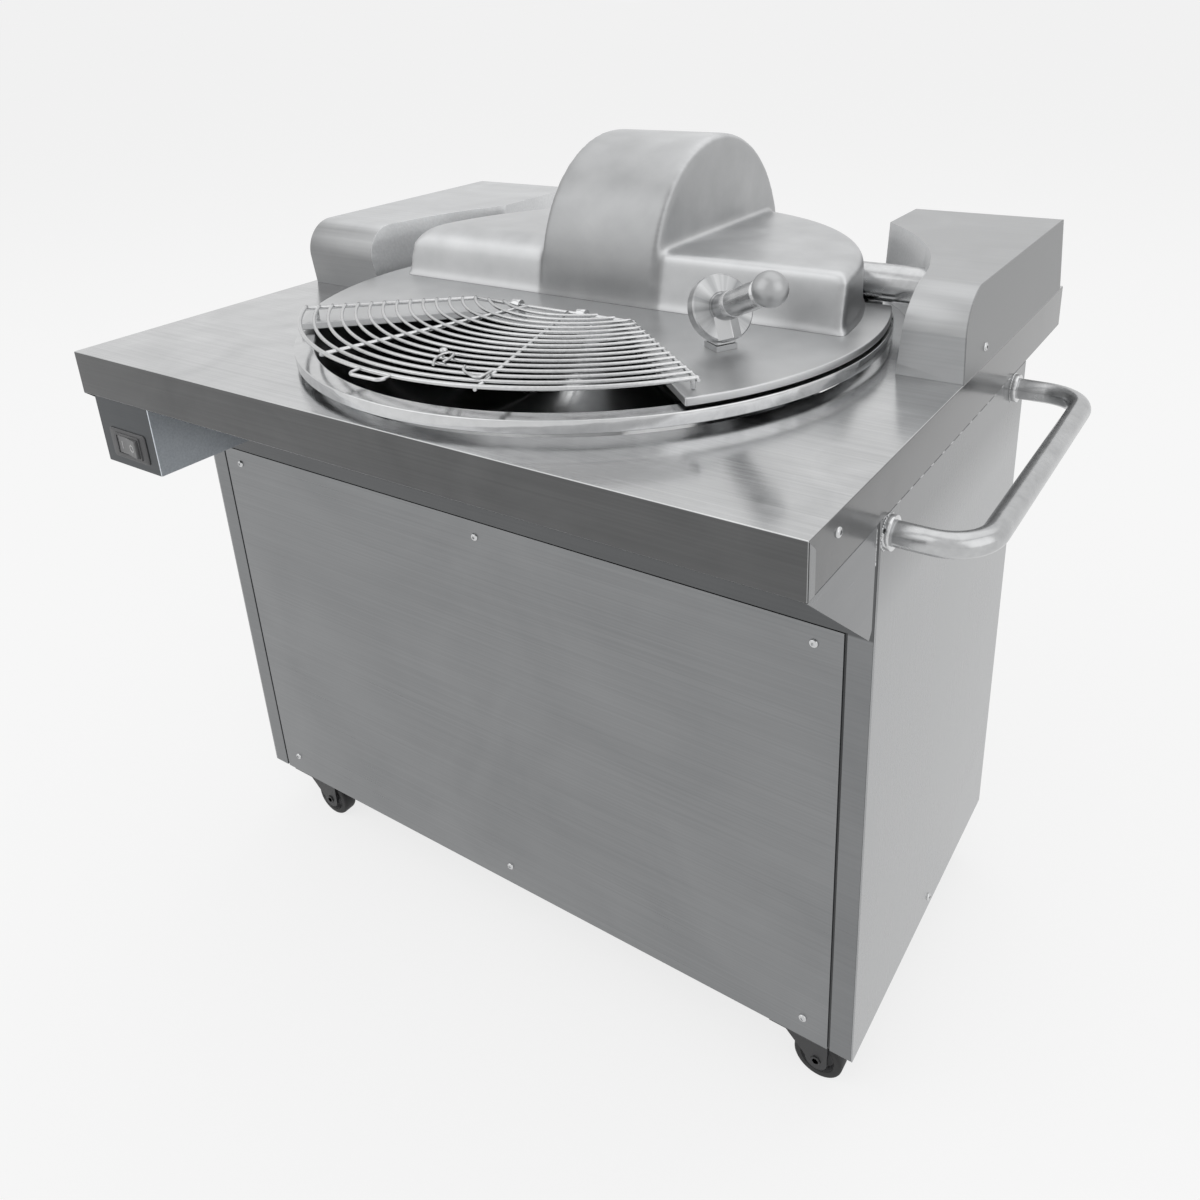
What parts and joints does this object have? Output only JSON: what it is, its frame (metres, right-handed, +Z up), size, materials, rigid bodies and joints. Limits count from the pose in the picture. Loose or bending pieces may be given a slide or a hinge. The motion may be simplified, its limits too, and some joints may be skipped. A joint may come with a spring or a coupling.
{
  "type": "meat and vegetable cutter",
  "caption": "Bowl cutter on a wheeled steel cabinet: a turning bowl in the worktop, knives under a hinged hooded lid with a wire guard, side push handle and rocker switch.",
  "frame": {"origin": "on the floor, below the middle of the machine with its side handle", "axes": "+X to the operator's right, +Y to the back, +Z up"},
  "size_m": [1.097, 0.815, 1.0549],
  "materials": {
    "sheet_steel": "brushed",
    "cast_aluminium": "satin",
    "polished_steel": "polished",
    "grey_iron": "satin",
    "motor_paint": "satin",
    "black_rubber": "matte",
    "dark_plastic": "matte",
    "wheel_rubber": "matte",
    "black_steel": "satin"
  },
  "bodies": {
    "machine": {"belt_cover": "cast_aluminium", "bowl_bearing_housing": "cast_aluminium", "bowl_bearings": "polished_steel", "bowl_bridge": "sheet_steel", "bowl_gearmotor": "motor_paint", "cabinet_frame": "sheet_steel", "castor_plates": "black_steel", "control_box": "sheet_steel", "drive_belt": "black_rubber", "front_panel": "sheet_steel", "front_panel_screws": "polished_steel", "gusset_left": "sheet_steel", "gusset_right": "sheet_steel", "handle_collars": "polished_steel", "knife_bearings": "polished_steel", "knife_motor": "motor_paint", "left_cover": "cast_aluminium", "lid_hinge_bracket": "sheet_steel", "lid_hinge_pin": "polished_steel", "motor_shelf": "sheet_steel", "push_handle": "polished_steel", "rear_panel": "sheet_steel", "side_panel_left": "sheet_steel", "side_panel_right": "sheet_steel", "side_screws": "polished_steel", "spindle_housing": "polished_steel", "spindle_pedestal": "cast_aluminium", "switch_plate": "dark_plastic", "worktop": "sheet_steel"},
    "bowl_rotor": {"bowl": "polished_steel", "bowl_shaft": "polished_steel", "bowl_nut": "polished_steel"},
    "knife_rotor": {"knife_1": "polished_steel", "knife_2": "polished_steel", "knife_3": "polished_steel", "knife_spacers": "polished_steel", "knife_nut": "polished_steel", "knife_shaft": "polished_steel", "knife_pulley": "grey_iron"},
    "motor_rotor": {"motor_shaft": "polished_steel", "motor_pulley": "grey_iron"},
    "lid": {"lid_plate": "cast_aluminium", "knife_hood": "cast_aluminium", "lid_hinge_arm": "cast_aluminium", "guard_lugs": "polished_steel", "lever_foot": "cast_aluminium"},
    "wire_guard": {"guard": "polished_steel"},
    "lid_lever": {"lever_hub": "cast_aluminium", "lever_arm": "polished_steel", "lever_ball": "cast_aluminium"},
    "rocker": {"switch_rocker": "dark_plastic"},
    "fork_front_left": {"castor_fork_front_left": "black_steel"},
    "wheel_front_left": {"castor_wheel_front_left": "wheel_rubber"},
    "fork_rear_left": {"castor_fork_rear_left": "black_steel"},
    "wheel_rear_left": {"castor_wheel_rear_left": "wheel_rubber"},
    "fork_front_right": {"castor_fork_front_right": "black_steel"},
    "wheel_front_right": {"castor_wheel_front_right": "wheel_rubber"},
    "fork_rear_right": {"castor_fork_rear_right": "black_steel"},
    "wheel_rear_right": {"castor_wheel_rear_right": "wheel_rubber"}
  },
  "joints": [
    {"name": "bowl_spin", "type": "hinge", "parent": "machine", "child": "bowl_rotor", "pos_m": [-0.0105, -0.0325, 0.835], "axis": [0, 0, 1], "continuous": true},
    {"name": "knife_spin", "type": "hinge", "parent": "machine", "child": "knife_rotor", "pos_m": [-0.0105, 0.1385, 0.887], "axis": [1, 0, 0], "continuous": true},
    {"name": "motor_spin", "type": "hinge", "parent": "machine", "child": "motor_rotor", "pos_m": [0.4075, 0.1385, 0.435], "axis": [1, 0, 0], "continuous": true},
    {"name": "lid_lift", "type": "hinge", "parent": "machine", "child": "lid", "pos_m": [-0.0105, 0.3625, 0.877], "axis": [-1, 0, 0], "range_deg": [0, 75]},
    {"name": "guard_lift", "type": "hinge", "parent": "lid", "child": "wire_guard", "pos_m": [-0.0105, -0.1245, 0.883], "axis": [-1, 0, 0], "range_deg": [0, 100]},
    {"name": "lever_turn", "type": "hinge", "parent": "lid", "child": "lid_lever", "pos_m": [0.2175, -0.1215, 0.869], "axis": [0, 0, 1], "range_deg": [-60, 60]},
    {"name": "switch_rock", "type": "hinge", "parent": "machine", "child": "rocker", "pos_m": [-0.482, -0.4005, 0.717], "axis": [0, 0, 1], "range_deg": [0, 16]},
    {"name": "swivel_front_left", "type": "hinge", "parent": "machine", "child": "fork_front_left", "pos_m": [-0.4745, -0.2155, 0.082], "axis": [0, 0, 1], "continuous": true},
    {"name": "roll_front_left", "type": "hinge", "parent": "fork_front_left", "child": "wheel_front_left", "pos_m": [-0.4525, -0.2155, 0.031], "axis": [0, 1, 0], "continuous": true},
    {"name": "swivel_rear_left", "type": "hinge", "parent": "machine", "child": "fork_rear_left", "pos_m": [-0.4745, 0.2035, 0.082], "axis": [0, 0, 1], "continuous": true},
    {"name": "roll_rear_left", "type": "hinge", "parent": "fork_rear_left", "child": "wheel_rear_left", "pos_m": [-0.4525, 0.2035, 0.031], "axis": [0, 1, 0], "continuous": true},
    {"name": "swivel_front_right", "type": "hinge", "parent": "machine", "child": "fork_front_right", "pos_m": [0.3775, -0.2155, 0.082], "axis": [0, 0, 1], "continuous": true},
    {"name": "roll_front_right", "type": "hinge", "parent": "fork_front_right", "child": "wheel_front_right", "pos_m": [0.3995, -0.2155, 0.031], "axis": [0, 1, 0], "continuous": true},
    {"name": "swivel_rear_right", "type": "hinge", "parent": "machine", "child": "fork_rear_right", "pos_m": [0.3775, 0.2035, 0.082], "axis": [0, 0, 1], "continuous": true},
    {"name": "roll_rear_right", "type": "hinge", "parent": "fork_rear_right", "child": "wheel_rear_right", "pos_m": [0.3995, 0.2035, 0.031], "axis": [0, 1, 0], "continuous": true}
  ],
  "couplings": [
    {"joint": "motor_spin", "follows": "knife_spin", "ratio": 1}
  ]
}
